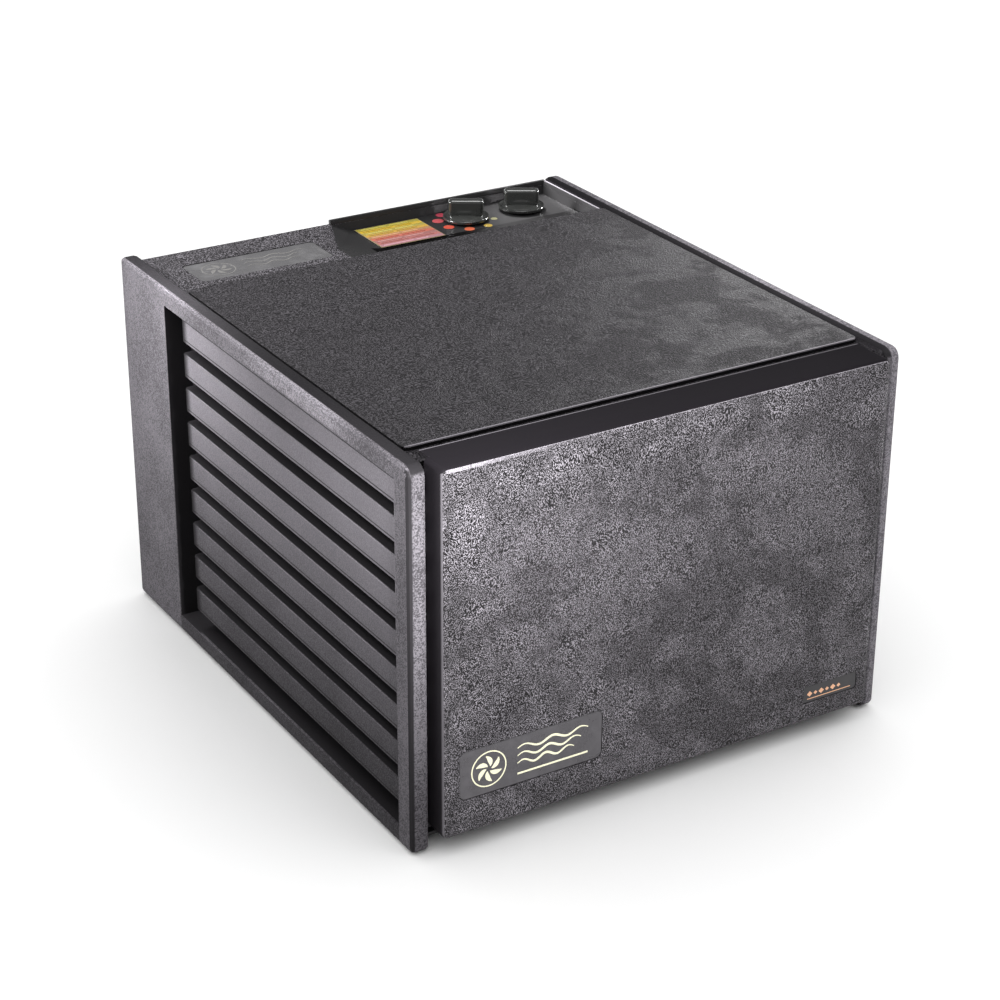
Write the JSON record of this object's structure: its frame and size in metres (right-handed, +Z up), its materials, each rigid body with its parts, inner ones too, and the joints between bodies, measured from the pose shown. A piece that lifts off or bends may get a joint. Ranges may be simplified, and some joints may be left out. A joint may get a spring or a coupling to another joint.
{
  "type": "food dehydrator",
  "caption": "Black box food dehydrator with corrugated side panels, sliding mesh trays behind a lift-off front door, rear fan heater and two top control knobs.",
  "frame": {"origin": "on the standing surface, under the middle of the whole outline", "axes": "+X to the right seen from the door, -Y out of the door, +Z up"},
  "size_m": [0.432, 0.502, 0.3209],
  "materials": {
    "moulded": "charcoal moulded plastic with a fine sand grain",
    "leather_grain": "black plastic skin with an embossed leather grain",
    "satin_black": "smooth satin black plastic",
    "gloss_black": "polished black plastic knobs",
    "plate_grey": "smooth dark grey name plates with a pale emblem",
    "copper_print": "small dark plate with a copper foil emblem",
    "chart": "printed temperature chart in yellow to pink bands",
    "tray_black": "black polypropylene tray frames and fan",
    "screen_white": "natural white woven plastic mesh sheets",
    "rubber": "black rubber feet and cord bush",
    "steel": "zinc plated steel screws, motor and switch cans",
    "element": "heat tinted steel sheath of the heating element",
    "ceramic": "cream ceramic blocks",
    "phenolic": "dark brown phenolic plastic",
    "brass": "brass switch shafts",
    "wire": "pale heat resistant wire cover"
  },
  "bodies": {
    "cabinet": {"left_side_panel": "moulded", "right_side_panel": "moulded", "top_panel": "leather_grain", "base_panel": "satin_black", "control_housing": "leather_grain", "rear_cover": "satin_black", "fan_baffle": "satin_black", "cord_gland": "rubber", "deck_badge": "plate_grey", "control_label": "chart", "thermostat_body": "steel", "timer_body": "phenolic", "sensor_bulb": "steel", "fan_motor": "steel", "motor_bracket": "steel", "heating_element": "element", "left_insulator": "ceramic", "right_insulator": "ceramic", "thermal_cutoff": "phenolic", "terminal_block": "phenolic", "supply_wire": "wire", "foot_1": "rubber", "foot_2": "rubber", "foot_3": "rubber", "foot_4": "rubber", "base_screw_1": "steel", "base_screw_2": "steel", "base_screw_3": "steel", "base_screw_4": "steel", "cover_screw_1": "steel", "cover_screw_2": "steel", "cover_screw_3": "steel", "cover_screw_4": "steel"},
    "door": {"door_shell": "leather_grain", "door_badge": "plate_grey", "door_small_badge": "copper_print"},
    "thermostat_dial": {"thermostat_knob": "gloss_black", "thermostat_shaft": "brass"},
    "timer_dial": {"timer_knob": "gloss_black", "timer_shaft": "brass"},
    "fan_rotor": {"fan_blades": "tray_black", "motor_shaft": "steel"},
    "tray_1": {"tray_frame_1": "tray_black", "tray_screen_1": "screen_white"},
    "tray_2": {"tray_frame_2": "tray_black", "tray_screen_2": "screen_white"},
    "tray_3": {"tray_frame_3": "tray_black", "tray_screen_3": "screen_white"},
    "tray_4": {"tray_frame_4": "tray_black", "tray_screen_4": "screen_white"},
    "tray_5": {"tray_frame_5": "tray_black", "tray_screen_5": "screen_white"},
    "tray_6": {"tray_frame_6": "tray_black", "tray_screen_6": "screen_white"},
    "tray_7": {"tray_frame_7": "tray_black", "tray_screen_7": "screen_white"},
    "tray_8": {"tray_frame_8": "tray_black", "tray_screen_8": "screen_white"},
    "tray_9": {"tray_frame_9": "tray_black", "tray_screen_9": "screen_white"}
  },
  "joints": [
    {"name": "door_pull", "type": "slide", "parent": "cabinet", "child": "door", "axis": [0, -1, 0], "range_m": [0, 0.45]},
    {"name": "tray_1_slide", "type": "slide", "parent": "cabinet", "child": "tray_1", "axis": [0, -1, 0], "range_m": [0, 0.037]},
    {"name": "tray_2_slide", "type": "slide", "parent": "cabinet", "child": "tray_2", "axis": [0, -1, 0], "range_m": [0, 0.073]},
    {"name": "tray_3_slide", "type": "slide", "parent": "cabinet", "child": "tray_3", "axis": [0, -1, 0], "range_m": [0, 0.109]},
    {"name": "tray_4_slide", "type": "slide", "parent": "cabinet", "child": "tray_4", "axis": [0, -1, 0], "range_m": [0, 0.145]},
    {"name": "tray_5_slide", "type": "slide", "parent": "cabinet", "child": "tray_5", "axis": [0, -1, 0], "range_m": [0, 0.181]},
    {"name": "tray_6_slide", "type": "slide", "parent": "cabinet", "child": "tray_6", "axis": [0, -1, 0], "range_m": [0, 0.217]},
    {"name": "tray_7_slide", "type": "slide", "parent": "cabinet", "child": "tray_7", "axis": [0, -1, 0], "range_m": [0, 0.253]},
    {"name": "tray_8_slide", "type": "slide", "parent": "cabinet", "child": "tray_8", "axis": [0, -1, 0], "range_m": [0, 0.289]},
    {"name": "tray_9_slide", "type": "slide", "parent": "cabinet", "child": "tray_9", "axis": [0, -1, 0], "range_m": [0, 0.325]},
    {"name": "thermostat_turn", "type": "hinge", "parent": "cabinet", "child": "thermostat_dial", "pos_m": [0.0995, 0.218, 0.3036], "axis": [0, 0, 1], "range_deg": [-270, 0]},
    {"name": "timer_turn", "type": "hinge", "parent": "cabinet", "child": "timer_dial", "pos_m": [0.157, 0.218, 0.3036], "axis": [0, 0, 1], "range_deg": [-330, 0]},
    {"name": "fan_spin", "type": "hinge", "parent": "cabinet", "child": "fan_rotor", "pos_m": [0, 0.187, 0.154], "axis": [0, 1, 0], "continuous": true}
  ],
  "couplings": [
    {"joint": "tray_1_slide", "follows": "door_pull", "ratio": 0.08},
    {"joint": "tray_2_slide", "follows": "door_pull", "ratio": 0.16},
    {"joint": "tray_3_slide", "follows": "door_pull", "ratio": 0.24},
    {"joint": "tray_4_slide", "follows": "door_pull", "ratio": 0.32},
    {"joint": "tray_5_slide", "follows": "door_pull", "ratio": 0.4},
    {"joint": "tray_6_slide", "follows": "door_pull", "ratio": 0.48},
    {"joint": "tray_7_slide", "follows": "door_pull", "ratio": 0.56},
    {"joint": "tray_8_slide", "follows": "door_pull", "ratio": 0.64},
    {"joint": "tray_9_slide", "follows": "door_pull", "ratio": 0.72}
  ]
}
